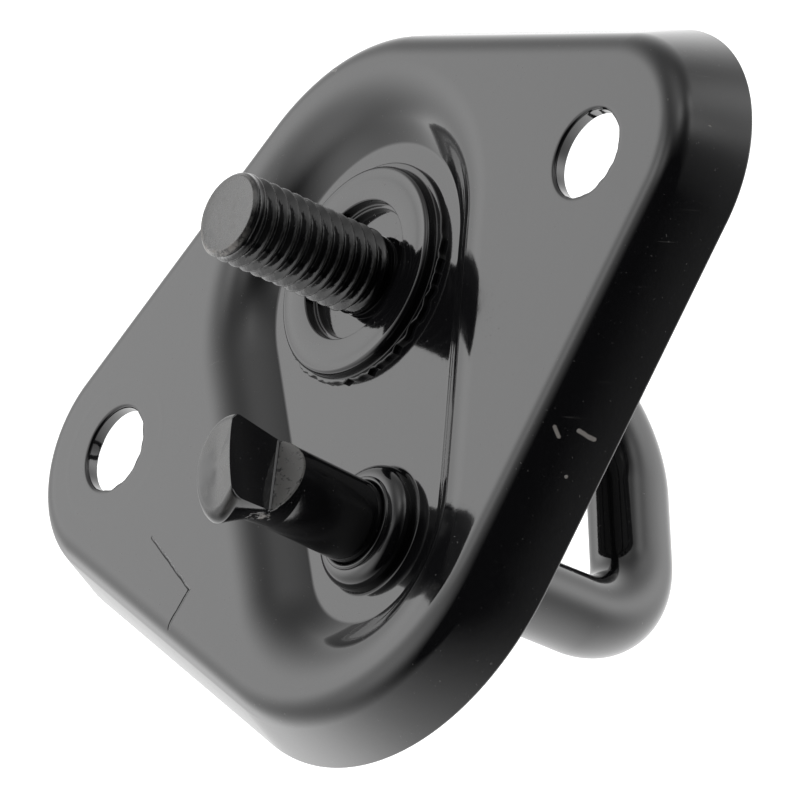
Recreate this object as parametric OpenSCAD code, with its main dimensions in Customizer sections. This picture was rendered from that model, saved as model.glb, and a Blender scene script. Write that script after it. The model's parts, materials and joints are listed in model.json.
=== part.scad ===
// Hood latch striker: a pressed plate that carries a bent rod loop.
// The plate lies flat, +Z is the side that the two rod legs point to.
// The origin is midway between the two mounting holes, on the front face.

/* [Mounting plate] */
// Distance between the two mounting holes
hole_spacing = 62; // [52:0.5:66]
// Diameter of a mounting hole
hole_d = 7.9; // [5:0.1:10]
// Thickness of the steel sheet
sheet_t = 1.3; // [1:0.1:2]
// Distance of each side corner's centre from the middle
side_x = 31.7; // [29:0.1:40]
// Radius of the two side corners
side_r = 12.8; // [10:0.1:14]
// Radius of the top corner
top_r = 22; // [16:0.5:26]
// Distance from the hole line to the top edge
top_reach = 28.4; // [26:0.1:33]
// Radius of the bottom corner
bottom_r = 22.8; // [16:0.1:26]
// Distance from the hole line to the bottom edge
bottom_reach = 41.1; // [40:0.1:47]
// Height of the turned-down rim
rim_h = 5.9; // [5:0.1:9]
// Outside radius of the bend between face and rim
rim_bend_r = 4.3; // [3:0.1:4.8]
// Draft of the rim: how far its wall leans outwards, in degrees
rim_draft = 20; // [5:1:25]

/* [Recess] */
// Depth of the pressed recess
recess_depth = 3; // [2.5:0.1:4.5]
// Radius of the recess round the stud, at the front face
recess_stud_r = 17.4; // [16:0.1:18.5]
// Radius of the recess round the plain leg, at the front face
recess_leg_r = 13.4; // [12.5:0.1:14]
// Slope of the recess wall, in degrees
recess_slope = 45; // [35:1:60]
// Radius of the soft edge round the recess
recess_edge_r = 3.5; // [2.5:0.1:4]
// Radius between the recess wall and its floor
recess_foot_r = 2; // [1:0.1:2.5]

/* [Collar round the plain leg] */
// Height of the drawn collar above the recess floor
leg_collar_h = 2.3; // [1.5:0.1:3]
// Wall thickness of the drawn collar at its lip
leg_collar_wall = 1.1; // [0.8:0.1:1.4]
// Radius of the collar's rounded foot
leg_collar_foot = 1.2; // [0.6:0.1:1.4]

/* [Striker hoop] */
// Diameter of the rod
rod_d = 7.3; // [6.4:0.1:7.6]
// Distance between the two legs
leg_pitch = 25.6; // [24:0.1:28]
// Distance of the stud leg above the hole line
stud_y = 4.3; // [3:0.1:5.5]
// Depth of the striker bar's centre line below the front face
bar_depth = 33.3; // [28:0.1:45]
// Bend radius on the plain leg's side, at the centre line
leg_bend_r = 7.5; // [5:0.5:9]
// Bend radius on the stud's side, at the centre line
stud_bend_r = 11.5; // [5:0.5:14]

/* [Stud] */
// Outside diameter of the thread
thread_d = 8; // [7.8:0.1:8.4]
// Height of the stud's tip above the front face
stud_h = 12.9; // [10:0.1:24]
// Chamfer at the stud's tip
stud_chamfer = 0.5; // [0.3:0.1:1.5]

/* [Plain leg tip] */
// Height of the plain leg's tip above the front face
leg_h = 14; // [13:0.1:22]
// Width of the pressed tip along the line of the legs
tip_w = 10; // [8.5:0.1:11]
// How far the pressed tip's middle lies off the leg's centre line
tip_shift = 0.3; // [0:0.1:0.6]
// Height of the pressed flat
flat_h = 4.3; // [3:0.1:5]
// Distance of the flat's middle from the leg's centre line
flat_x = 1.1; // [0.5:0.1:2.5]
// Radius of the flat, which is slightly hollow
flat_r = 8.6; // [7:0.1:30]
// Height of the slope between the rod and the flat
flat_slope = 1.4; // [0.5:0.1:2]
// Chamfer round the end of the tip
tip_chamfer = 0.8; // [0.5:0.1:1.5]

/* [Stud collar] */
// Diameter of the collar's flange
collar_d = 19.3; // [17:0.1:20]
// Height of the flange above the recess floor
collar_h = 1.6; // [1.5:0.1:2.4]
// Diameter of the low step under the flange
collar_step_d = 20.6; // [20.2:0.1:21.4]
// Height of the low step
collar_step_h = 0.45; // [0.3:0.05:0.6]
// Diameter of the wide counterbore
bore_d = 12.8; // [12:0.1:14]
// Depth of the wide counterbore
bore_depth = 1; // [0.6:0.1:1.3]
// Diameter of the narrow counterbore
bore2_d = 11; // [10:0.1:11.4]
// Depth of the narrow counterbore below the wide one
bore2_depth = 0.7; // [0.4:0.1:1]
// Outside diameter of the neck that sits in the plate
neck_d = 13.4; // [12.8:0.1:14.5]
// Radius of the flange's rounded lip
lip_r = 0.5; // [0.3:0.1:0.6]

/* [Hidden] */
fit_gap = 0.05;
arc_steps = 5;
outline_steps = 72;
paint = [0.06, 0.06, 0.065];
eps = 0.01;
skin = 0.03;
flare_lap = 0.5;
rod_r = rod_d / 2;
leg_y = stud_y - leg_pitch;
floor_z = -recess_depth;
collar_top = floor_z + collar_h;
flat_z = leg_h - flat_h;
tip_z = flat_z - flat_slope - 0.1;
tip_t = rod_d + 0.1;
plate_circles = [
    [side_x, 0, side_r],
    [0, top_reach - top_r, top_r],
    [-side_x, 0, side_r],
    [0, bottom_r - bottom_reach, bottom_r]
];
recess_circles = [
    [0, stud_y, recess_stud_r],
    [0, leg_y, recess_leg_r]
];

// How far a rounded shape reaches in the direction a
function reach(c, a) = c[0] * cos(a) + c[1] * sin(a) + c[2];

// The circle of a rounded shape that lies outermost in the direction a
function outer_circle(circles, a) =
    let (far = max([for (c = circles) reach(c, a)]))
    [for (c = circles) if (reach(c, a) >= far - 1e-9) c][0];

// The outline round some circles, pulled in by inset, at the height z
function outline(circles, inset, z) = [
    for (i = [0 : outline_steps - 1])
        let (a = 360 * (i + 0.5) / outline_steps, c = outer_circle(circles, a))
        [c[0] + (c[2] - inset) * cos(a), c[1] + (c[2] - inset) * sin(a), z]
];

// A solid whose section follows steps of [inset, z], from the bottom up
module loft(circles, steps) {
    n = outline_steps;
    rings = len(steps);
    pts = [for (s = steps) each outline(circles, s[0], s[1])];
    sides = [
        for (r = [0 : rings - 2], i = [0 : n - 1])
            let (j = (i + 1) % n)
            [r * n + i, (r + 1) * n + i, (r + 1) * n + j, r * n + j]
    ];
    bottom = [for (i = [0 : n - 1]) i];
    top = [for (i = [n - 1 : -1 : 0]) (rings - 1) * n + i];
    polyhedron(pts, concat([bottom], sides, [top]), convexity = 6);
}

// How far in from the rim's lower edge the bend's centre lies
rim_run = (rim_h - rim_bend_r * (1 - sin(rim_draft))) * tan(rim_draft)
    + rim_bend_r * cos(rim_draft);

// Steps up the leaning rim and round its bend, for the skin that lies t inside
function rim_steps(t, low) = [
    [(low + rim_h) * tan(rim_draft) + t / cos(rim_draft), low],
    for (i = [0 : arc_steps])
        let (a = rim_draft + (90 - rim_draft) * i / arc_steps, r = rim_bend_r - t)
        [rim_run - r * cos(a), r * sin(a) - rim_bend_r]
];

// How far the recess wall reaches in, from its soft edge to its floor
recess_run = (recess_edge_r + recess_foot_r) * sin(recess_slope)
    + (recess_depth - (recess_edge_r + recess_foot_r) * (1 - cos(recess_slope))) / tan(recess_slope);

// Steps up the recess wall, for the skin that lies t below the front
function recess_steps(t, high) = [
    for (i = [0 : arc_steps])
        let (a = recess_slope * i / arc_steps, r = recess_foot_r + t)
        [recess_run - r * sin(a), floor_z + recess_foot_r - r * cos(a)],
    for (i = [arc_steps : -1 : 0])
        let (a = recess_slope * i / arc_steps, r = recess_edge_r - t)
        [r * sin(a), r * cos(a) - recess_edge_r],
    [0, high]
];

// Points along an arc from angle a0 to angle a1
function arc(x, y, r, a0, a1) = [
    for (i = [0 : arc_steps])
        let (a = a0 + (a1 - a0) * i / arc_steps)
        [x + r * cos(a), y + r * sin(a)]
];

// Half section of the collar that is drawn up round the plain leg
module leg_collar_section() {
    outer = rod_r + fit_gap + leg_collar_wall;
    top = floor_z + leg_collar_h;
    foot = leg_collar_foot;
    lip = leg_collar_wall * 0.6;
    polygon(concat(
        [[rod_r / 2, floor_z - sheet_t / 2], [outer + foot, floor_z - sheet_t / 2]],
        arc(outer + foot, floor_z + foot, foot, 270, 180),
        arc(outer - lip, top - lip, lip, 0, 90),
        [[rod_r / 2, top]]
    ));
}

// The outer skin of the dish, without its hollow side
module dish() {
    difference() {
        loft(plate_circles, rim_steps(0, -rim_h));
        loft(recess_circles, recess_steps(0, 1));
    }
}

// The hollow under the sheet, which the recess bulges into
module hollow() {
    difference() {
        loft(plate_circles, rim_steps(sheet_t, -rim_h - 1));
        loft(recess_circles, recess_steps(sheet_t, 1));
    }
}

// A round hole through the sheet, from under the rim to above the face
module through_hole(x, y, r) {
    translate([x, y, -rim_h - 1])
        cylinder(r = r, h = rim_h + 2, $fn = 96);
}

// The pressed sheet: a shallow dish with a rim, a recess and its holes
module mounting_plate() color(paint) difference() {
    union() {
        difference() {
            dish();
            hollow();
        }
        translate([0, leg_y, 0])
            rotate_extrude($fn = 96)
            leg_collar_section();
    }
    for (side = [-1, 1])
        through_hole(side * hole_spacing / 2, 0, hole_d / 2);
    through_hole(0, leg_y, rod_r + fit_gap);
    through_hole(0, stud_y, neck_d / 2 + fit_gap);
}

// A quarter bend of the rod that leaves the bar and turns up to a leg
module rod_bend(bend_r) {
    rotate([0, 90, 0])
        rotate_extrude(angle = 90, $fn = 96)
        translate([bend_r, 0])
        circle(rod_r, $fn = 96);
}

// A thin slice of the plain leg's pressed tip, pulled in all round
module tip_slice(inset, z) {
    side = (tip_w - tip_t) / 2;
    for (y = [-side, side])
        translate([0, y - tip_shift, z])
            cylinder(d = tip_t - 2 * inset, h = eps, $fn = 32);
}

// The hollow flat that a press leaves, and the slope that leads up to it
module press_cut() {
    translate([flat_x + flat_r, 0, flat_z - flat_slope])
        cylinder(r1 = flat_r - rod_r + flat_x - 0.2, r2 = flat_r, h = flat_slope + eps, $fn = 128);
    translate([flat_x + flat_r, 0, flat_z])
        cylinder(r = flat_r, h = flat_h + 1, $fn = 128);
}

// The plain leg's end: squeezed wider than the rod, with one flat
module pressed_tip() {
    difference() {
        hull() {
            translate([0, 0, tip_z])
                cylinder(r = rod_r + skin, h = eps, $fn = 64);
            tip_slice(0, leg_h - tip_chamfer);
            tip_slice(tip_chamfer, leg_h - eps);
        }
        press_cut();
    }
}

// The bent rod: stud, leg, striker bar, leg and pressed tip in one piece
module striker_hoop() color(paint) {
    bar_z = -bar_depth;
    leg_foot = bar_z + leg_bend_r;
    stud_foot = bar_z + stud_bend_r;
    thread_z = collar_top - bore_depth - bore2_depth + 0.1;
    translate([0, leg_y + leg_bend_r, bar_z])
        rotate([-90, 0, 0])
        cylinder(r = rod_r, h = leg_pitch - leg_bend_r - stud_bend_r, $fn = 96);
    translate([0, leg_y + leg_bend_r, leg_foot])
        mirror([0, 1, 0])
        rod_bend(leg_bend_r);
    translate([0, stud_y - stud_bend_r, stud_foot])
        rod_bend(stud_bend_r);
    translate([0, leg_y, leg_foot])
        cylinder(r = rod_r, h = tip_z + flare_lap - leg_foot, $fn = 96);
    translate([0, leg_y, 0])
        pressed_tip();
    translate([0, stud_y, stud_foot])
        cylinder(r = rod_r, h = thread_z - stud_foot, $fn = 96);
    translate([0, stud_y, thread_z])
        cylinder(d = thread_d, h = stud_h - stud_chamfer - thread_z, $fn = 96);
    translate([0, stud_y, stud_h - stud_chamfer])
        cylinder(d1 = thread_d, d2 = thread_d - 2 * stud_chamfer, h = stud_chamfer, $fn = 96);
}

// The flanged bush round the stud: neck, low step, flange and counterbore
module stud_collar() color(paint) translate([0, stud_y, 0]) rotate_extrude($fn = 96) {
    seat = rod_r + fit_gap;
    wide_z = collar_top - bore_depth;
    narrow_z = wide_z - bore2_depth;
    polygon(concat(
        [[seat, floor_z - sheet_t], [neck_d / 2, floor_z - sheet_t], [neck_d / 2, floor_z]],
        [[collar_step_d / 2, floor_z], [collar_step_d / 2, floor_z + collar_step_h]],
        [[collar_d / 2, floor_z + collar_step_h]],
        arc(collar_d / 2 - lip_r, collar_top - lip_r, lip_r, 0, 90),
        [[bore_d / 2, collar_top], [bore_d / 2, wide_z], [bore2_d / 2, wide_z]],
        [[bore2_d / 2, narrow_z], [seat, narrow_z]]
    ));
}

mounting_plate();
striker_hoop();
stud_collar();
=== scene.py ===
"""The looks of a hood latch striker: its pressed plate, its bent rod and the collar round its stud."""

import json
import math

import bmesh
import bpy
from bpy.props import FloatProperty, FloatVectorProperty, IntProperty, PointerProperty
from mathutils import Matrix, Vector, noise


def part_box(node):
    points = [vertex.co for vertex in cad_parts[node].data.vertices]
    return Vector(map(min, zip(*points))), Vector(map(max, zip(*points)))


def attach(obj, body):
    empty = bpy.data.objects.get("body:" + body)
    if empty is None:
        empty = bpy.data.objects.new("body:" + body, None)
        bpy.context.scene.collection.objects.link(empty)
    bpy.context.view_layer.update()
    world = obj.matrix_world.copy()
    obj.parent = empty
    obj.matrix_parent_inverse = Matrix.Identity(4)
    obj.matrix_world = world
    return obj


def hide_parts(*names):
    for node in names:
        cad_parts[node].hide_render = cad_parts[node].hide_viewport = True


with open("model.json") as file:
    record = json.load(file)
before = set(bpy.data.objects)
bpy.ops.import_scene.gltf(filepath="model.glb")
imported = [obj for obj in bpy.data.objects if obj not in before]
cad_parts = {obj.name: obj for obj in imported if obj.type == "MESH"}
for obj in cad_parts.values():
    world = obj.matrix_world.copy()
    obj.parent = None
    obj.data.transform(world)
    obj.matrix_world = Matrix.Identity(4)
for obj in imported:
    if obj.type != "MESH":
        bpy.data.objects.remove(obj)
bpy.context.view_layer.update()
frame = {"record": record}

bl_info = {
    "name": "Hood latch striker",
    "version": (1, 0, 0),
    "blender": (4, 5, 0),
    "location": "View3D > Sidebar > Striker",
    "description": "Dresses the packed striker: plate, rod hoop, stud collar, black coat and stage",
    "category": "Object",
}

MM = 0.001
# A level face reaches this far beside a bend, which keeps its shading flat
SUPPORT = 0.2 * MM
# Room between the rod and the collars that hold it
FIT_GAP = 0.05 * MM


# What the frame says about the part, in metres

MOUNTS = {m["name"]: m for m in frame["record"]["mounts"]}
PLATE_LOW, PLATE_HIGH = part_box("mounting_plate")
COLLAR_LOW, COLLAR_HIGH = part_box("stud_collar")
HOOP_LOW, HOOP_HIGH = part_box("striker_hoop")
HOLE_SPACING = MOUNTS["mounting_holes"]["dims"]["spacing_x_mm"] * MM
HOLE_R = MOUNTS["mounting_holes"]["dims"]["hole_r_mm"] * MM
THREAD_R = MOUNTS["threaded_stud"]["dims"]["r_mm"] * MM
STUD_Y = MOUNTS["threaded_stud"]["pos_m"][1]
LEG_Y = MOUNTS["locating_leg"]["pos_m"][1]
BAR_Z = MOUNTS["striker_bar"]["pos_m"][2]
ROD_R = BAR_Z - HOOP_LOW[2]


def length(name, text, mm):
    return FloatProperty(name=name, description=text, default=mm * MM, subtype="DISTANCE", unit="LENGTH")


def angle(name, text, degrees):
    turn = math.radians(degrees)
    return FloatProperty(name=name, description=text, default=turn, subtype="ANGLE", unit="ROTATION")


def number(name, text, value):
    return FloatProperty(name=name, description=text, default=value)


def colour(name, text, rgb):
    return FloatVectorProperty(
        name=name, description=text, default=rgb, subtype="COLOR", size=3, min=0, max=1)


def count(name, text, points):
    return IntProperty(name=name, description=text, default=points, min=24)


class PlateSizes(bpy.types.PropertyGroup):
    """Sizes of the pressed plate that the frame doesn't give."""

    sheet: length("Sheet", "Thickness of the steel sheet", 1.3)
    side_r: length("Side corner", "Radius of the two side corners", 13.4)
    top_r: length("Top corner", "Radius of the top corner", 22)
    bottom_r: length("Bottom corner", "Radius of the bottom corner", 24.2)
    left_in: length("Left end", "How much shorter the left end is than the right one", 0.3)
    rim_bend: length("Rim bend", "Outside radius of the bend into the rim", 2.8)
    rim_draft: angle("Rim draft", "How far the rim leans outwards", 24)
    rim_bead: length("Rim bead", "Thickness of the coat that hangs below the rim", 0.5)
    rim_edge: length("Rim edge", "Rounding of the rim's lower edge", 0.15)
    recess_stud_r: length("Recess at stud", "Radius of the recess round the stud", 18.7)
    recess_leg_r: length("Recess at leg", "Radius of the recess round the plain leg", 14.7)
    recess_slope: angle("Wall slope", "Slope of the recess wall at its steepest", 40)
    recess_ease: angle("Wall ease", "Slope of the recess wall at its foot", 30)
    recess_edge: length("Soft edge", "Radius of the soft edge round the recess", 7)
    recess_foot: length("Wall foot", "Radius between the recess wall and its floor", 0.7)
    hole_front: length("Hole front", "Rounding of a mounting hole's front edge", 0.35)
    hole_back: length("Hole back", "Rounding of a mounting hole's back edge", 0.15)
    hole_drip: length("Hole drip", "How far the coat hangs into a mounting hole", 0.32)
    collar_h: length("Drawn collar", "Height of the collar drawn up round the plain leg", 2.3)
    collar_wall: length("Drawn wall", "Wall of the drawn collar at its foot", 1.9)
    collar_foot: length("Drawn foot", "Radius of the drawn collar's foot", 0.3)
    collar_bead: length("Drawn bead", "Radius of the bead on the drawn collar's lip", 0.25)
    collar_shoulder: length("Drawn shoulder", "Radius of the drawn collar's shoulder", 1.4)
    collar_entry: length("Drawn entry", "Rounding of the drawn collar's hole at the back", 0.8)
    facets: count("Facets", "Points round the plate's outline", 288)
    hole_facets: count("Hole facets", "Points round a hole", 128)


class HoopSizes(bpy.types.PropertyGroup):
    """Sizes of the bent rod that the frame doesn't give."""

    pitch: length("Pitch", "Pitch of the thread", 1.25)
    thread_depth: number("Thread depth", "Depth of the thread as a share of its pitch", 0.53)
    runout: number("Run-out", "Turns in which the thread fades at the collar", 1.2)
    start: number("Thread start", "Turns in which the thread fades at the stud's end", 1.1)
    stud_h: length("Stud height", "Height of the stud's end above the plate", 12.9)
    stud_dish: length("Stud dish", "Hollow in the stud's end", 0.11)
    chamfer: length("Stud chamfer", "Chamfer at the stud's end", 0.5)
    stud_bend: length("Stud bend", "Bend radius on the stud's side", 11.5)
    leg_bend: length("Leg bend", "Bend radius on the plain leg's side", 7.5)
    leg_lean: number("Leg lean", "Lean of the plain leg above its collar", 0.06)
    near_w: length("Tip near side", "Half width of the pressed tip on the side away from the stud", 4.1)
    near_h: length("Near flare", "Height of the flare on the side away from the stud", 3.8)
    near_taper: number("Near taper", "How much the near side narrows towards the flat", 0.5)
    far_w: length("Tip far side", "Half width of the pressed tip on the stud's side", 5.2)
    far_h: length("Far flare", "Height of the flare on the stud's side", 6.3)
    far_taper: number("Far taper", "How much the far side narrows towards the flat", 0.1)
    tip_shift: length("Tip shift", "How far the pressed tip's middle is off the leg", 0.6)
    tip_dome: length("Tip dome", "How far the tip's end falls off at its sides", 0.6)
    tip_round: length("Tip edge", "Rounding at the end of the pressed tip", 0.8)
    tip_crown: length("Tip crown", "Rise in the middle of the tip's end", 0.03)
    flat_h: length("Flat height", "Height of the pressed flat", 5)
    flat_x: length("Flat depth", "Distance of the flat's middle from the leg's centre line", 1.1)
    flat_skew: number("Flat skew", "Lean of the flat's lower line", 0.16)
    flat_slope: length("Flat slope", "Height of the slope between the rod and the flat", 0.9)
    flat_bead: length("Flat bead", "Bead of coat along the flat's lower line", 0.1)
    facets: count("Facets", "Points round the rod", 112)


class CollarSizes(bpy.types.PropertyGroup):
    """Sizes of the stud collar that the frame doesn't give."""

    flange_r: length("Flange", "Radius of the flange", 9.65)
    neck_r: length("Neck", "Radius of the neck in the plate", 6.7)
    step_h: length("Low step", "Height of the low step under the flange", 0.45)
    bore_r: length("Wide bore", "Radius of the wide counterbore", 6.4)
    bore_depth: length("Wide depth", "Depth of the wide counterbore", 1)
    bore2_r: length("Narrow bore", "Radius of the narrow counterbore", 5.95)
    bore2_depth: length("Narrow depth", "Depth of the narrow counterbore", 0.5)
    lip: length("Lip", "Radius of the flange's rounded lip", 0.5)
    edge: length("Edges", "Rounding of the collar's other edges", 0.15)
    fringe: length("Fringe", "Depth of the ragged coat on the low step", 0.5)
    facets: count("Facets", "Points round the collar", 192)


class CoatLook(bpy.types.PropertyGroup):
    """Colour and gloss of the black coat."""

    black: colour("Coat", "Colour of the black coat", (0.0045, 0.0045, 0.005))
    # The dust colour also paints highlights on the rod: its crests and specks on its lower side and on the
    # pressed slope
    dust_and_highlight: colour("Dust", "Colour of the fine dust in corners", (0.10, 0.098, 0.094))
    # The chip colour also paints a highlight on the stud's chamfer rim
    chip_and_highlight: colour("Chip", "Colour of a chip in the coat", (0.17, 0.16, 0.15))
    rough: number("Roughness", "Roughness of the clean coat", 0.05)


class StageLook(bpy.types.PropertyGroup):
    """Camera, light and floor."""

    lens: number("Lens", "Focal length in mm", 298.132)
    sensor: number("Sensor", "Width of the sensor in mm", 36)
    place: FloatVectorProperty(
        name="Camera", description="Where the camera stands",
        default=(0.362299, -0.301628, 0.323313), subtype="TRANSLATION", size=3)
    turn: FloatVectorProperty(
        name="Turn", description="How the camera is turned",
        default=tuple(math.radians(a) for a in (29.2627, 48.6090, -2.3575)), subtype="EULER", size=3)
    floor_z: length("Floor", "Height of the floor", -120)
    floor_half: length("Floor size", "Half width of the floor", 600)
    floor_paint: colour("Floor colour", "Colour of the floor", (0.8, 0.8, 0.8))
    floor_glow: number("Floor glow", "Light that the floor gives by itself", 0.7)


# Meshes that grow loop by loop

class Skin:
    """A mesh that is built from loops of points and bands between them."""

    def __init__(self):
        self.bm = bmesh.new()

    def loop(self, points):
        return [self.bm.verts.new(p) for p in points]

    def band(self, low, high):
        n = len(low)
        for i in range(n):
            j = (i + 1) % n
            self.bm.faces.new((low[i], low[j], high[j], high[i]))

    def join(self, loops):
        for low, high in zip(loops, loops[1:]):
            self.band(low, high)

    def sheet(self, outer, holes):
        """Fills the level area between one loop and the loops inside it."""
        edges = []
        for ring in [outer, *holes]:
            for i, v in enumerate(ring):
                w = ring[(i + 1) % len(ring)]
                edges.append(self.bm.edges.get((v, w)) or self.bm.edges.new((v, w)))
        bmesh.ops.triangle_fill(self.bm, edges=edges, use_beauty=True, normal=(0, 0, 1))

    def cap(self, ring):
        middle = self.bm.verts.new(sum((v.co for v in ring), Vector()) / len(ring))
        for i, v in enumerate(ring):
            self.bm.faces.new((v, ring[(i + 1) % len(ring)], middle))

    def to_object(self, name, sharp=35):
        bmesh.ops.recalc_face_normals(self.bm, faces=self.bm.faces)
        mesh = bpy.data.meshes.new(name)
        self.bm.to_mesh(mesh)
        self.bm.free()
        mesh.shade_smooth()
        mesh.set_sharp_from_angle(angle=math.radians(sharp))
        piece = bpy.data.objects.new(name, mesh)
        bpy.context.collection.objects.link(piece)
        return piece


def rise(value, low, high):
    """0 below low, 1 above high and straight between them."""
    return min(1, max(0, (value - low) / (high - low)))


def rounded_loop(circles, inset, z, n):
    """A level loop round some circles, pulled in by inset."""
    points = []
    for i in range(n):
        a = math.tau * (i + 0.5) / n
        x, y, r = max(circles, key=lambda c: c[0] * math.cos(a) + c[1] * math.sin(a) + c[2])
        points.append((x + (r - inset) * math.cos(a), y + (r - inset) * math.sin(a), z))
    return points


def arc(x, y, r, a0, a1, steps=10):
    """Points (x, y) along an arc between two angles in degrees."""
    angles = [math.radians(a0 + (a1 - a0) * i / steps) for i in range(steps + 1)]
    return [(x + r * math.cos(a), y + r * math.sin(a)) for a in angles]


def lathe(skin, x, y, profile, n):
    """One loop for each point (radius, height) of a profile."""
    return [skin.loop(rounded_loop([(x, y, r)], 0, z, n)) for r, z in profile]


# The pressed plate

# Where in a mounting hole the coat hangs thickest, as an angle: the lower right
DRIP_TURN = -0.85


def recess_floor():
    return COLLAR_LOW[2] + bpy.context.scene.striker_plate.sheet


def drawn_top():
    return recess_floor() + bpy.context.scene.striker_plate.collar_h


def plate_skin(s, skin):
    """The plate's front and back, each from its rim inwards to its holes."""
    corners = [
        (PLATE_HIGH[0] - s.side_r, 0, s.side_r),
        (0, PLATE_HIGH[1] - s.top_r, s.top_r),
        (PLATE_LOW[0] + s.left_in + s.side_r, 0, s.side_r),
        (0, PLATE_LOW[1] + s.bottom_r, s.bottom_r),
    ]
    recess = [(0, STUD_Y, s.recess_stud_r), (0, LEG_Y, s.recess_leg_r)]
    bolt_places = (HOLE_SPACING / 2, -HOLE_SPACING / 2)
    places = [("bolt", x, 0) for x in bolt_places] + [("neck", 0, STUD_Y), ("leg", 0, LEG_Y)]
    faces = []
    for t, profiles in ((0, front_holes(s)), (s.sheet, back_holes(s))):
        rim = [skin.loop(rounded_loop(corners, inset, z, s.facets)) for inset, z in rim_profile(s, t)]
        wall = [skin.loop(rounded_loop(recess, inset, z, s.facets)) for inset, z in wall_profile(s, t)]
        holes = [lathe(skin, x, y, profiles[kind], s.hole_facets) for kind, x, y in places]
        for rows in (rim, wall, *holes):
            skin.join(rows)
        skin.sheet(rim[-1], [wall[0], holes[0][0], holes[1][0]])
        skin.sheet(wall[-1], [holes[2][0], holes[3][0]])
        faces.append((rim, holes))
    (front_rim, front), (back_rim, back) = faces
    for rows, x in zip(front, bolt_places):
        coat_drip(s, rows[3:], x)
    skin.band(front_rim[0], back_rim[0])
    for front_rows, back_rows in zip(front, back):
        skin.band(front_rows[-1], back_rows[-1])


def rim_profile(s, t):
    """The rim (inset, height) at the depth t in the sheet: lower edge, leaning wall and bend."""
    low = PLATE_LOW[2] - s.rim_bead
    draft = s.rim_draft
    lean = math.degrees(draft)
    inside, last = (s.sheet - s.rim_edge, 360 - lean) if t else (s.rim_edge, 180 - lean)
    edge_x = inside / math.cos(draft) + s.rim_edge * math.tan(draft)
    edge = arc(edge_x, low + s.rim_edge, s.rim_edge, 270, last)
    bend_x = (-low - s.rim_bend * (1 - math.sin(draft))) * math.tan(draft) + s.rim_bend * math.cos(draft)
    bend = arc(0, -s.rim_bend, s.rim_bend - t, lean, 90, 16)
    return edge + [(bend_x - x, z) for x, z in bend] + [(bend_x + SUPPORT, -t)]


def wall_profile(s, t):
    """The recess wall (inset, height) at the depth t in the sheet: soft edge, easing slope and foot."""
    floor_z = recess_floor()
    slope, ease = s.recess_slope, s.recess_ease
    drop = -floor_z - s.recess_edge * (1 - math.cos(slope)) - s.recess_foot * (1 - math.cos(ease))
    slope_r = drop / (math.cos(ease) - math.cos(slope))
    foot_x = s.recess_edge * math.sin(slope) + slope_r * (math.sin(slope) - math.sin(ease))
    foot_x += s.recess_foot * math.sin(ease)
    foot_z = floor_z + s.recess_foot
    slope_x = foot_x + (slope_r - s.recess_foot) * math.sin(ease)
    slope_z = foot_z + (slope_r - s.recess_foot) * math.cos(ease)
    slope, ease = math.degrees(slope), math.degrees(ease)
    edge = arc(0, -s.recess_edge, s.recess_edge - t, 90, 90 - slope, 12)
    fall = arc(slope_x, slope_z, slope_r + t, 270 - slope, 270 - ease, 8)
    foot = arc(foot_x, foot_z, s.recess_foot + t, 270 - ease, 270, 10)
    return [(-SUPPORT, -t)] + edge + fall[1:-1] + foot + [(foot_x + SUPPORT, floor_z - t)]


def front_holes(s):
    """Profiles (radius, height) from the front into each kind of hole."""
    floor_z = recess_floor()
    top = drawn_top()
    bore = ROD_R + FIT_GAP
    outer = bore + s.collar_wall
    neck = bpy.context.scene.striker_collar.neck_r + FIT_GAP
    edge, foot, shoulder, bead = s.hole_front, s.collar_foot, s.collar_shoulder, s.collar_bead
    drawn = [(outer + foot + SUPPORT, floor_z)] + arc(outer + foot, floor_z + foot, foot, 270, 180)
    drawn += arc(outer - shoulder, top - bead - shoulder, shoulder, 0, 90)
    drawn += arc(bore + bead, top - bead, bead, 0, 180)
    return {
        "bolt": [(HOLE_R + edge + SUPPORT, 0)] + arc(HOLE_R + edge, -edge, edge, 90, 180),
        "neck": [(neck + SUPPORT, floor_z), (neck, floor_z)],
        "leg": drawn,
    }


def back_holes(s):
    """Profiles (radius, height) from the back into each kind of hole."""
    floor_z = recess_floor() - s.sheet
    bore = ROD_R + FIT_GAP
    neck = bpy.context.scene.striker_collar.neck_r + FIT_GAP
    edge, entry = s.hole_back, s.collar_entry
    return {
        "bolt": [(HOLE_R + edge + SUPPORT, -s.sheet)] + arc(HOLE_R + edge, edge - s.sheet, edge, 270, 180),
        "neck": [(neck + SUPPORT, floor_z), (neck, floor_z)],
        "leg": [(bore + entry + SUPPORT, floor_z)] + arc(bore + entry, floor_z + entry, entry, 270, 180),
    }


def coat_drip(s, rows, x):
    """The thick, ragged coat that hangs in a mounting hole's lower right edge."""
    for k, row in enumerate(rows):
        depth = min(1, (k + 1) / 4)
        for v in row:
            out = Vector((v.co.x - x, v.co.y, 0)).normalized()
            turn = math.atan2(out.y, out.x)
            off = turn - DRIP_TURN
            near = math.cos(off * 0.9) if abs(off) < 1.5 else 0
            rag = 0.55 + 0.7 * noise.noise(Vector((turn * 4.3, x * 300, 0.4 * depth)))
            v.co -= out * max(0, rag) * near * depth * s.hole_drip


# The bent rod

# The fine rows of the pressed tip start this far below its flare
TIP_LEAD = 0.4 * MM


def rod_angles(s):
    """Angles round the rod, with a first group that the pressed flat takes."""
    half = math.acos(s.flat_x / ROD_R)
    flat_points = s.facets // 3
    rest = s.facets - flat_points
    angles = [half * (2 * i / flat_points - 1) for i in range(flat_points)]
    return angles + [half + (math.tau - 2 * half) * i / rest for i in range(rest)]


def rod_loop(skin, angles, middle, side, radius):
    """A loop round the rod, whose radius is a function of the angle."""
    x_axis = Vector((1, 0, 0))
    return skin.loop([
        middle + (x_axis * math.cos(a) + side * math.sin(a)) * radius(a) for a in angles
    ])


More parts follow.
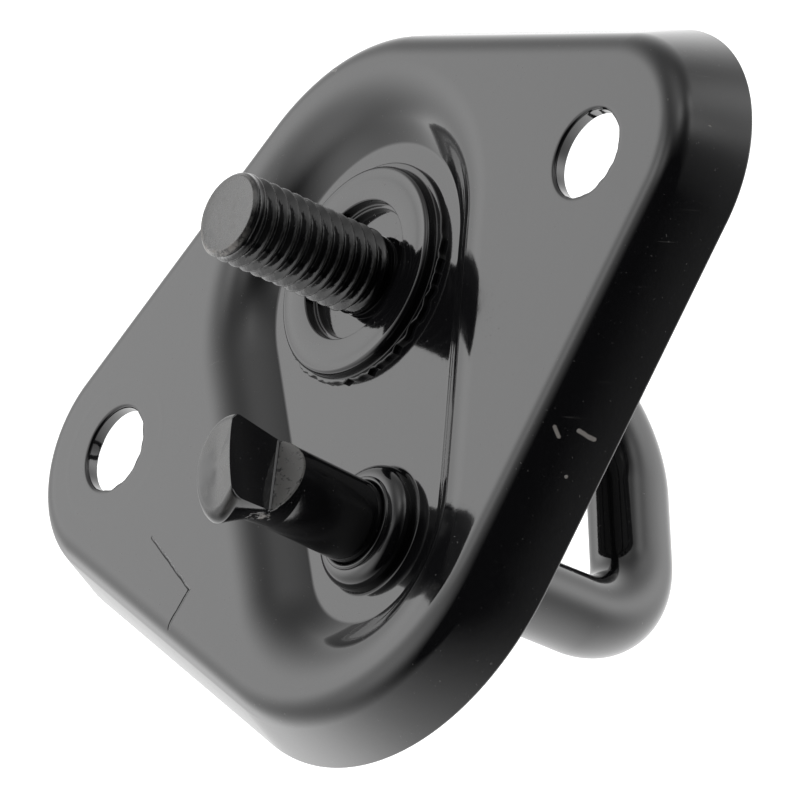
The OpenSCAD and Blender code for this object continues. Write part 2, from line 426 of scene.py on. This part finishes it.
def bend_loops(skin, angles, middle, r, first, last, steps):
    """Loops along a quarter bend, which starts at one direction from its middle and ends at another."""
    loops = []
    for i in range(steps + 1):
        a = math.pi / 2 * i / steps
        out = first * math.cos(a) + last * math.sin(a)
        loops.append(rod_loop(skin, angles, middle + out * r, out, lambda turn: ROD_R))
    return loops


def thread_radius(s, z, low):
    """How far the coated thread reaches at each angle, at the height z."""
    depth = s.thread_depth * s.pitch
    crest, root = 0.07, 0.20
    coat_loss = 0.03 * MM
    start_loss = 0.06 * MM
    tip_limit = THREAD_R - max(0, z - (s.stud_h - s.chamfer))
    runout = rise(z, low, low + s.runout * s.pitch)
    start = rise(s.stud_h - z, 0, s.start * s.pitch) ** 1.5

    def radius(a):
        turn = (z / s.pitch - a / math.tau) % 1
        away = abs(turn - 0.5) * 2
        flank = rise(away, crest, 1 - root)
        cut = 0.9 * flank + 0.1 * flank * flank * (3 - 2 * flank)
        full = THREAD_R - coat_loss - depth * cut * start - start_loss * (1 - start)
        wobble = 0.02 * MM * noise.noise(Vector((a * 2.2, z * 900, 3.1)))
        lump = max(0, noise.noise(Vector((a * 5, z * 2600, 7.7))))
        scruff = 0.05 * MM * lump * max(0, math.cos(a + 2.4))
        return min(tip_limit, ROD_R + (full - ROD_R + wobble - scruff) * runout)
    return radius


def press_depth(s, y, z):
    """How far out the press lets the tip reach, at the distance y across it."""
    line = HOOP_HIGH[2] - s.flat_h - s.flat_skew * y
    slope = s.flat_x + (line - z) * (ROD_R - s.flat_x) / s.flat_slope
    bead = s.flat_bead * math.exp(-((z - line) / s.flat_bead - 0.8) ** 2)
    return max(s.flat_x + bead, slope)


def tip_points(s, angles, z, inset):
    """The plain leg's section: it leans, flares, is pressed flat on one side and domed at its end."""
    top = HOOP_HIGH[2]
    start = top - s.far_h
    far = rise(z, start, top - s.tip_round)
    near = rise(z, top - s.near_h, top - s.tip_round)
    shift = s.leg_lean * max(0, z - drawn_top()) - s.tip_shift * far
    points = []
    for a in angles:
        c, d = math.cos(a), math.sin(a)
        wide, taper, grow = (s.near_w, s.near_taper, near) if d > 0 else (s.far_w, s.far_taper, far)
        x = (ROD_R + 0.05 * MM * far - inset) * c
        y = (ROD_R + (wide - ROD_R) * grow - inset) * d * (1 - taper * grow * c)
        dome = s.tip_dome * min(1.3, (y / s.far_w) ** 2) * max(0, z - start) / s.far_h
        x = min(x, press_depth(s, -y, z - dome))
        points.append((x, LEG_Y + shift - y, z - dome))
    return points


def tip_rows(s):
    """Height and inset of each section of the pressed tip, up to its rounded end."""
    top = HOOP_HIGH[2]
    start = top - s.far_h - TIP_LEAD
    shoulder = top - s.tip_round
    straight, rounded = 110, 8
    rows = [(start + (shoulder - start) * i / straight, 0) for i in range(straight + 1)]
    for i in range(1, rounded + 1):
        a = math.pi / 2 * i / rounded
        rows.append((shoulder + s.tip_round * math.sin(a), s.tip_round * (1 - math.cos(a))))
    return rows


def hoop_skin(s, skin):
    """Down the stud, round the striker bar and up the plain leg to its tip."""
    angles = rod_angles(s)
    low = recess_floor()
    y_axis, z_axis = Vector((0, 1, 0)), Vector((0, 0, 1))
    rows_per_turn = 28
    steps = round((s.stud_h - low) / s.pitch * rows_per_turn)
    loops = []
    for i in range(steps + 1):
        z = s.stud_h - (s.stud_h - low) * i / steps
        loops.append(rod_loop(skin, angles, Vector((0, STUD_Y, z)), y_axis, thread_radius(s, z, low)))
    middle = Vector((0, STUD_Y - s.stud_bend, BAR_Z + s.stud_bend))
    loops += bend_loops(skin, angles, middle, s.stud_bend, y_axis, -z_axis, 40)
    middle = Vector((0, LEG_Y + s.leg_bend, BAR_Z + s.leg_bend))
    loops += bend_loops(skin, angles, middle, s.leg_bend, -z_axis, -y_axis, 32)
    for z, inset in [(drawn_top(), 0)] + tip_rows(s):
        loops.append(skin.loop(tip_points(s, angles, z, inset)))
    skin.join(loops)
    close_end(skin, loops[0], s.stud_dish)
    close_end(skin, loops[-1], -s.tip_crown)


def close_end(skin, ring, dish):
    """A face over the rod's end, slightly dished or, below zero, crowned."""
    middle = sum((v.co for v in ring), Vector()) / len(ring)
    last = ring
    for scale, part in ((0.97, 0.05), (0.92, 0.3), (0.8, 0.6), (0.6, 0.85), (0.4, 0.95), (0.2, 1.0)):
        lift = Vector((0, 0, dish * part))
        inner = skin.loop([middle + (v.co - middle) * scale - lift for v in ring])
        skin.band(last, inner)
        last = inner
    skin.cap(last)


# The collar round the stud

# Where the ragged fringe hangs thickest, as an angle: the side below the stud
FRINGE_TURN = -1.5


def collar_skin(s, skin):
    """The turned collar: neck, low step, flange with its lip and groove, and the two counterbores."""
    low, top = COLLAR_LOW[2], COLLAR_HIGH[2]
    floor_z = recess_floor()
    seat = ROD_R + FIT_GAP
    step_r = COLLAR_HIGH[0]
    step_top = floor_z + s.step_h
    inner = s.flange_r - s.lip
    wide_z = top - s.bore_depth
    narrow_z = wide_z - s.bore2_depth
    foot = [(seat, low), (s.neck_r, low), (s.neck_r, floor_z), (step_r, floor_z)]
    step = arc(step_r - s.edge, step_top - s.edge, s.edge, 0, 90, 5)
    flange = arc(s.flange_r + s.edge, step_top + s.edge, s.edge, 270, 180, 5)
    flange += arc(inner, top - s.lip, s.lip, 0, 75, 8)
    groove = [(inner, top - 0.02 * MM), (inner - 0.3 * MM, top - 0.06 * MM)]
    groove += [(inner - 0.7 * MM, top - 0.01 * MM), (inner - 1.1 * MM, top)]
    bores = arc(s.bore_r + s.edge, top - s.edge, s.edge, 90, 180, 6)
    bores += arc(s.bore_r - s.edge, wide_z + s.edge, s.edge, 360, 270, 5)
    bores += arc(s.bore2_r + s.edge, wide_z - s.edge, s.edge, 90, 180, 6)
    bores += [(s.bore2_r, narrow_z), (seat, narrow_z)]
    loops = lathe(skin, 0, STUD_Y, foot + step + flange + groove + bores, s.facets)
    coat_fringe(s, loops[len(foot) - 1:len(foot + step)])
    skin.join(loops + [loops[0]])


def coat_fringe(s, rows):
    """The ragged coat on the low step, on the side below the stud."""
    for row in rows:
        for v in row:
            out = Vector((v.co.x, v.co.y - STUD_Y, 0)).normalized()
            turn = math.atan2(out.y, out.x)
            near = max(0, math.cos(turn - FRINGE_TURN)) ** 0.5
            coarse = noise.noise(Vector((turn * 11, 0.3, 5.0)))
            fine = noise.noise(Vector((turn * 31, 1.3, 5.0)))
            rag = 0.45 + 0.8 * coarse + 0.4 * fine
            v.co -= out * max(0, rag) * near * s.fringe


# Shader recipes

class Wire:
    """A shader socket that can be used in Python expressions."""

    def __init__(self, recipe, socket):
        self.recipe = recipe
        self.socket = socket

    def math(self, operation, *values, clamp=False):
        settings = {"operation": operation, "use_clamp": clamp}
        return self.recipe.node("ShaderNodeMath", settings, dict(enumerate((self, *values))))

    def __add__(self, other):
        return self.math("ADD", other)

    def __sub__(self, other):
        return self.math("SUBTRACT", other)

    def __rsub__(self, other):
        return self.math("MULTIPLY_ADD", -1.0, other)

    def __mul__(self, other):
        return self.math("MULTIPLY", other)

    __radd__ = __add__
    __rmul__ = __mul__


class Recipe:
    """A node tree that is written as expressions."""

    def __init__(self, tree):
        self.tree = tree
        tree.nodes.clear()

    def node(self, kind, settings=None, values=None, out=0):
        """Adds a node from its type, its settings and its sockets' values or links."""
        node = self.tree.nodes.new(kind)
        for name, value in (settings or {}).items():
            setattr(node, name, value)
        for name, value in (values or {}).items():
            if isinstance(value, Wire):
                self.tree.links.new(value.socket, node.inputs[name])
            else:
                node.inputs[name].default_value = value
        return Wire(self, node.outputs[out]) if node.outputs else node

    def vector(self, operation, *values, out=0):
        return self.node("ShaderNodeVectorMath", {"operation": operation}, dict(enumerate(values)), out)

    def along(self, where, way):
        """How far a place lies along a direction."""
        return self.vector("DOT_PRODUCT", where, way, out=1)

    def apart(self, where, place):
        return self.vector("DISTANCE", where, place, out=1)

    def smooth(self, value, low, high):
        """0 below low and 1 above high, with a soft step between; low may be above high."""
        flip = low > high
        low, high = sorted((low, high))
        step = self.node("ShaderNodeMapRange", {"interpolation_type": "SMOOTHSTEP"},
                         {"Value": value, "From Min": low, "From Max": high})
        return 1 - step if flip else step

    def mix(self, factor, a, b):
        return self.node("ShaderNodeMix", {"data_type": "RGBA"}, {0: factor, 6: a, 7: b}, out=2)

    def noise(self, where, scale, detail=2.0, rough=0.5, warp=0.0):
        values = {"Vector": where, "Scale": scale, "Detail": detail, "Roughness": rough, "Distortion": warp}
        return self.node("ShaderNodeTexNoise", None, values)

    def stretched(self, where, turn, scale):
        """Coordinates turned and stretched, for marks that run one way."""
        return self.node("ShaderNodeMapping", {"vector_type": "POINT"},
                         {"Vector": where, "Rotation": turn, "Scale": scale})

    def off_stroke(self, where, a, b):
        """Distance from the stroke that joins two places."""
        stroke = b - a
        from_a = self.vector("SUBTRACT", where, a)
        part = self.along(from_a, stroke / stroke.length_squared).math("ADD", 0, clamp=True)
        foot = self.node("ShaderNodeVectorMath", {"operation": "SCALE"}, {0: stroke, "Scale": part})
        return self.apart(from_a, foot)


def coat_material(look, name, marks=None):
    """Glossy black coat: soft waves, fine grain, dust and small chips, and a piece's own marks; on the rod
    these include painted highlights in the dust and chip colours.
    """
    material = bpy.data.materials.new(name)
    material.use_nodes = True
    make = Recipe(material.node_tree)
    where = make.node("ShaderNodeTexCoord", out=3)
    waves = make.noise(where, 260)
    grain = make.noise(where, 1900, 3, 0.6)
    cloud = make.noise(where, 75, 4, 0.6, 0.4)
    specks = make.smooth(make.noise(where, 3300), 0.70, 0.78)
    wiped = make.stretched(where, (0.2, 0.1, 0.7), (1, 22, 1))
    scratches = make.smooth(make.noise(wiped, 210), 0.70, 0.76)
    scratches = scratches * make.smooth(make.noise(where, 130), 0.52, 0.66)
    height = waves * 0.010 + grain * 0.0022 - scratches * 0.0016 + specks * 0.004
    chips = make.smooth(make.noise(where, 520, 2, 0.4), 0.80, 0.83)
    dust_and_highlight = specks * 0.35 + scratches * 0.18
    rough = look.rough + cloud * 0.05 + scratches * 0.12 + specks * 0.25
    if marks:
        # A piece's marks can hold painted highlights in their dust and chip slots
        extra_height, extra_chips_and_highlight, extra_dust_and_highlight = marks(make, where)
        height = height + extra_height
        chips = chips.math("MAXIMUM", extra_chips_and_highlight)
        dust_and_highlight = dust_and_highlight + extra_dust_and_highlight
        rough = rough + extra_dust_and_highlight * 0.5
    height = height - chips * 0.02
    # Dust colour, which on the rod also carries painted highlights
    colour_now = make.mix(dust_and_highlight.math("ADD", 0, clamp=True), (*look.black, 1), (*look.dust_and_highlight, 1))
    # Chip colour, which also carries a painted highlight on the stud's chamfer rim
    colour_now = make.mix(chips, colour_now, (*look.chip_and_highlight, 1))
    rough = rough + chips * 0.3
    bump = make.node("ShaderNodeBump", None, {"Strength": 1.0, "Distance": MM, "Height": height})
    surface = make.node("ShaderNodeBsdfPrincipled", None, {
        "Base Color": colour_now, "Roughness": rough, "IOR": 1.5, "Normal": bump})
    make.node("ShaderNodeOutputMaterial", None, {"Surface": surface})
    return material


def at(x, y, z):
    """A place in the part's frame, given in millimetres."""
    return Vector((x, y, z)) * MM


# The marks that one piece has and the others haven't
PRESS_LINE_TOP = at(-25.75, -11.33, 0)
PRESS_LINE_BEND = at(-20.8, -18.76, 0)
PRESS_LINE_END = at(-23.96, -21.36, 0)
NICK_START = at(-0.1, 24.75, 0)
NICK_END = at(-3.46, 27.78, -0.8)
WASHER_R = 6.6 * MM
# Each chip's two ends and its width
CHIPS = (
    (at(25.5, -23.1, -3.0), at(25.8, -23.6, -4.4), 0.25 * MM),
    (at(24.5, -22.9, -1.2), at(24.3, -23.5, -1.8), 0.22 * MM),
    (at(23.0, -26.1, -3.7), at(23.01, -26.11, -3.7), 0.2 * MM),
    (at(7.46, -41.27, -3.0), at(7.6, -41.3, -3.0), 0.22 * MM),
)
BURR_TOP = at(-0.3, -24.8, 10.4)
BURR_END = at(0.3, -24.5, 9.4)
# The stud's lower side in the picture, where its coat is lumpy and gets painted highlights
LUMPS_AND_HIGHLIGHT_WAY = Vector((-0.75, -0.66, 0))


def plate_marks(make, where):
    """The press line below the left hole, the washer's seat, a nick at the top and a few chips."""
    ripple = make.noise(where, 900)
    ragged = make.node("ShaderNodeMix", {"data_type": "VECTOR"}, {0: 0.0002, 4: where, 5: ripple}, out=1)
    upper = make.off_stroke(ragged, PRESS_LINE_TOP, PRESS_LINE_BEND)
    lower = make.off_stroke(ragged, PRESS_LINE_BEND, PRESS_LINE_END)
    groove = make.smooth(upper, 0.2 * MM, 0.05 * MM) * 0.8 + make.smooth(lower, 0.22 * MM, 0.06 * MM)
    off_washer = make.apart(where, (-HOLE_SPACING / 2, 0, 0)) - WASHER_R
    seat = make.smooth(off_washer.math("ABSOLUTE"), 0.4 * MM, 0.1 * MM) * make.noise(where, 300)
    nick = make.smooth(make.off_stroke(ragged, NICK_START, NICK_END), 0.25 * MM, 0.1 * MM)
    chips = nick * 0.4
    for start, end, wide in CHIPS:
        chips = chips.math("MAXIMUM", make.smooth(make.off_stroke(ragged, start, end), wide, wide / 2))
    height = groove * -0.14 + seat * 0.006 - nick * 0.03
    return height, chips, seat * 0.04


def rod_marks(make, where):
    """The marks of the thread and those of the plain leg's tip."""
    flat = make.vector("MULTIPLY", where, (1, 1, 0))
    lumps = make.noise(where, 1500, 3, 0.7)
    thread_height, chamfer_highlight, thread_dust_and_highlight = thread_marks(make, where, flat, lumps)
    tip_height, tip_chips, tip_dust_and_highlight = tip_marks(make, where, flat, lumps)
    return thread_height + tip_height, chamfer_highlight.math("MAXIMUM", tip_chips), thread_dust_and_highlight + tip_dust_and_highlight


def thread_marks(make, where, flat, lumps):
    """Crests lighter as partly worn coat and partly painted highlight, lumps with painted highlight specks
    on the lower side, a painted highlight on the chamfer's rim, and dust on the stud's end.
    """
    stud_h = bpy.context.scene.striker_hoop.stud_h
    z = make.along(where, (0, 0, 1))
    from_axis = make.apart(flat, (0, STUD_Y, 0))
    side = make.along(make.vector("SUBTRACT", flat, (0, STUD_Y, 0)), LUMPS_AND_HIGHLIGHT_WAY)
    above = make.smooth(z, COLLAR_LOW[2], COLLAR_LOW[2] + MM)
    on_stud = above * make.smooth(from_axis, 5.5 * MM, 5 * MM)
    fine = make.noise(make.stretched(where, (0, 0, 0), (1, 1, 3)), 2300, 2, 0.6)
    # Crests lighter: partly worn coat, partly a painted highlight along each crest
    crest = on_stud * make.smooth(from_axis, THREAD_R - 0.16 * MM, THREAD_R - 0.04 * MM)
    low_side = on_stud * make.smooth(side, 1.2 * MM, 3.4 * MM)
    # Painted highlight specks on the lumps of the lower side
    specks = low_side * make.smooth(lumps, 0.58, 0.70)
    # Painted highlight on the chamfer's rim, on the lower side, in the chip colour
    rim = make.smooth((from_axis - (THREAD_R - 0.4 * MM)).math("ABSOLUTE"), 0.4 * MM, 0.1 * MM)
    rim = rim * make.smooth(z, stud_h - 0.7 * MM, stud_h - 0.3 * MM) * make.smooth(lumps, 0.35, 0.6)
    rim = rim * make.smooth(side, -MM, 3 * MM)
    end = on_stud * make.smooth(z, stud_h - 0.3 * MM, stud_h - 0.1 * MM)
    end = end * make.smooth(make.noise(where, 700, 4, 0.7), 0.3, 0.75)
    height = low_side * lumps * 0.05 + on_stud * fine * 0.012
    return height, rim, crest * 0.35 * fine + specks * 0.9 + end * 0.75


def tip_marks(make, where, flat, lumps):
    """Painted highlight specks on the pressed slope, blotches at the tip's end and a burr beside the drawn
    collar.
    """
    s = bpy.context.scene.striker_hoop
    top = HOOP_HIGH[2]
    x = make.along(where, (1, 0, 0))
    y = make.along(where, (0, 1, 0)) - LEG_Y
    z = make.along(where, (0, 0, 1))
    on_leg = make.smooth(make.apart(flat, (0, STUD_Y, 0)), 18 * MM, 20 * MM)
    line = y * -s.flat_skew + (top - s.flat_h)
    off_slope = (line - z) * ((ROD_R - s.flat_x) / s.flat_slope) - (x - s.flat_x)
    # Painted highlight specks along the pressed slope
    slope = make.smooth(off_slope.math("ABSOLUTE"), 0.6 * MM, 0.3 * MM)
    slope = slope * make.smooth(x, s.flat_x, s.flat_x + 0.3 * MM)
    slope = slope * on_leg * make.smooth(lumps, 0.36, 0.46)
    press = make.smooth(z, top - 1.4 * MM, top - 0.5 * MM)
    press = press * make.smooth(x, s.flat_x - 0.03 * MM, s.flat_x - 0.2 * MM)
    press = press * make.smooth(make.noise(where, 230, 3, 0.6, 0.8), 0.42, 0.68)
    burr = make.smooth(make.off_stroke(where, BURR_TOP, BURR_END), 0.8 * MM, 0.2 * MM)
    burr = burr * make.smooth(lumps, 0.5, 0.6)
    return burr * 0.12, burr, slope * 0.85 + press * 0.55


# Pieces

def dress(piece, node, material):
    piece.data.materials.append(material)
    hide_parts(node)
    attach(piece, "root")


class STRIKER_OT_plate(bpy.types.Operator):
    """Makes the pressed plate with its rim, recess, holes and drawn collar"""

    bl_idname = "striker.plate"
    bl_label = "Mounting plate"

    def execute(self, context):
        skin = Skin()
        plate_skin(context.scene.striker_plate, skin)
        piece = skin.to_object("Mounting_plate")
        coat = coat_material(context.scene.striker_coat, "Plate coat", plate_marks)
        dress(piece, "mounting_plate", coat)
        return {"FINISHED"}


class STRIKER_OT_hoop(bpy.types.Operator):
    """Makes the bent rod with its thread, its striker bar and its pressed tip"""

    bl_idname = "striker.hoop"
    bl_label = "Striker hoop"

    def execute(self, context):
        skin = Skin()
        hoop_skin(context.scene.striker_hoop, skin)
        piece = skin.to_object("Striker_hoop", sharp=50)
        coat = coat_material(context.scene.striker_coat, "Rod coat", rod_marks)
        dress(piece, "striker_hoop", coat)
        return {"FINISHED"}


class STRIKER_OT_collar(bpy.types.Operator):
    """Makes the turned collar round the stud"""

    bl_idname = "striker.collar"
    bl_label = "Stud collar"

    def execute(self, context):
        skin = Skin()
        collar_skin(context.scene.striker_collar, skin)
        piece = skin.to_object("Stud_collar")
        coat = coat_material(context.scene.striker_coat, "Collar coat")
        dress(piece, "stud_collar", coat)
        return {"FINISHED"}


# The stage

WHITE = (1, 1, 1, 1)

# The studio's soft glows: where each one stands, how tight it is and how strong.
# The stud points up, and the camera stands in front on the right.
GLOWS = {
    "high on the left": ((-0.63, 0.45, 0.63), 9, 2.9),
    "low on the right": ((0.57, 0.33, -0.75), 13.5, 1.8),
    "wide on the left": ((-0.91, -0.41, -0.08), 7, 1.85),
    "spot at the back on the right": ((0.81, 0.52, 0.26), 67, 1.45),
    "low at the back": ((-0.02, 0.91, -0.41), 5, 1.75),
    "floor on the right": ((0.89, 0.25, -0.39), 13.5, 2.9),
    "narrow on the left": ((-0.99, 0.13, -0.04), 35, 1.05),
    "high spot on the right": ((0.56, 0.41, 0.72), 67, 1.2),
    "floor in front": ((-0.16, -0.66, -0.73), 2, 3.5),
    "level at the back on the right": ((0.75, 0.66, -0.04), 28, 1.15),
    "dark front": ((0.21, -0.90, 0.39), 4, -1.25),
    "spot overhead at the back": ((-0.20, 0.26, 0.94), 67, 1.8),
    "high at the back": ((0.40, 0.59, 0.71), 14, 1.25),
    "spot overhead": ((0.12, 0.12, 0.99), 67, 1.1),
    "overhead on the left": ((-0.44, -0.28, 0.85), 12, 1.9),
    "spot on the right": ((0.94, 0.25, 0.23), 67, 1.3),
}


def studio_light():
    """Soft studio light by direction; the camera sees plain white."""
    world = bpy.data.worlds.new("Studio")
    world.use_nodes = True
    make = Recipe(world.node_tree)
    direction = make.node("ShaderNodeTexCoord")
    light = 0.0
    for name, (toward, tight, strength) in GLOWS.items():
        aim = make.along(direction, Vector(toward).normalized())
        aim.socket.node.label = name
        light = ((aim - 1) * tight).math("EXPONENT") * strength + light
    glow = make.node("ShaderNodeBackground", None, {"Color": WHITE, "Strength": light.math("MAXIMUM", 0)})
    white = make.node("ShaderNodeBackground", None, {"Color": WHITE, "Strength": 1.0})
    camera_ray = make.node("ShaderNodeLightPath")
    shader = make.node("ShaderNodeMixShader", None, {0: camera_ray, 1: glow, 2: white})
    make.node("ShaderNodeOutputWorld", None, {"Surface": shader})
    return world


def pale_floor(look):
    """A level floor that the shiny coat doesn't mirror."""
    material = bpy.data.materials.new("Pale floor")
    material.use_nodes = True
    make = Recipe(material.node_tree)
    paper = make.node("ShaderNodeBsdfDiffuse", None, {"Color": (*look.floor_paint, 1)})
    glow = make.node("ShaderNodeEmission", None, {"Color": WHITE, "Strength": look.floor_glow})
    both = make.node("ShaderNodeAddShader", None, {0: paper, 1: glow})
    make.node("ShaderNodeOutputMaterial", None, {"Surface": both})
    half, z = look.floor_half, look.floor_z
    corners = [(-half, -half, z), (half, -half, z), (half, half, z), (-half, half, z)]
    mesh = bpy.data.meshes.new("Floor")
    mesh.from_pydata(corners, [], [(0, 1, 2, 3)])
    mesh.materials.append(material)
    floor = bpy.data.objects.new("Floor", mesh)
    floor.visible_glossy = False
    return floor


def photo_camera(look):
    """The camera that took the photograph."""
    data = bpy.data.cameras.new("Camera")
    data.lens = look.lens
    data.sensor_width = look.sensor
    data.clip_start = 10 * MM
    camera = bpy.data.objects.new("Camera", data)
    camera.location = look.place
    camera.rotation_euler = look.turn
    return camera


class STRIKER_OT_stage(bpy.types.Operator):
    """Sets up the camera, the soft light and the pale floor"""

    bl_idname = "striker.stage"
    bl_label = "Stage"

    def execute(self, context):
        look = context.scene.striker_stage
        context.scene.view_settings.view_transform = "Standard"
        context.scene.world = studio_light()
        floor = pale_floor(look)
        context.collection.objects.link(floor)
        camera = photo_camera(look)
        context.collection.objects.link(camera)
        context.scene.camera = camera
        return {"FINISHED"}


class STRIKER_PT_steps(bpy.types.Panel):
    """Lists the striker's pieces and its stage"""

    bl_idname = "STRIKER_PT_steps"
    bl_label = "Striker"
    bl_space_type = "VIEW_3D"
    bl_region_type = "UI"
    bl_category = "Striker"

    def draw(self, context):
        for step in STEPS:
            self.layout.operator(step.bl_idname)


STEPS = (STRIKER_OT_plate, STRIKER_OT_hoop, STRIKER_OT_collar, STRIKER_OT_stage)
SETTINGS = {
    "striker_plate": PlateSizes,
    "striker_hoop": HoopSizes,
    "striker_collar": CollarSizes,
    "striker_coat": CoatLook,
    "striker_stage": StageLook,
}


def register():
    for cls in (*SETTINGS.values(), *STEPS, STRIKER_PT_steps):
        bpy.utils.register_class(cls)
    for name, cls in SETTINGS.items():
        setattr(bpy.types.Scene, name, PointerProperty(type=cls))


def unregister():
    for name in SETTINGS:
        delattr(bpy.types.Scene, name)
    for cls in reversed((*SETTINGS.values(), *STEPS, STRIKER_PT_steps)):
        bpy.utils.unregister_class(cls)


def main():
    register()
    bpy.ops.striker.plate()
    bpy.ops.striker.hoop()
    bpy.ops.striker.collar()
    bpy.ops.striker.stage()


if __name__ == "__main__":
    main()
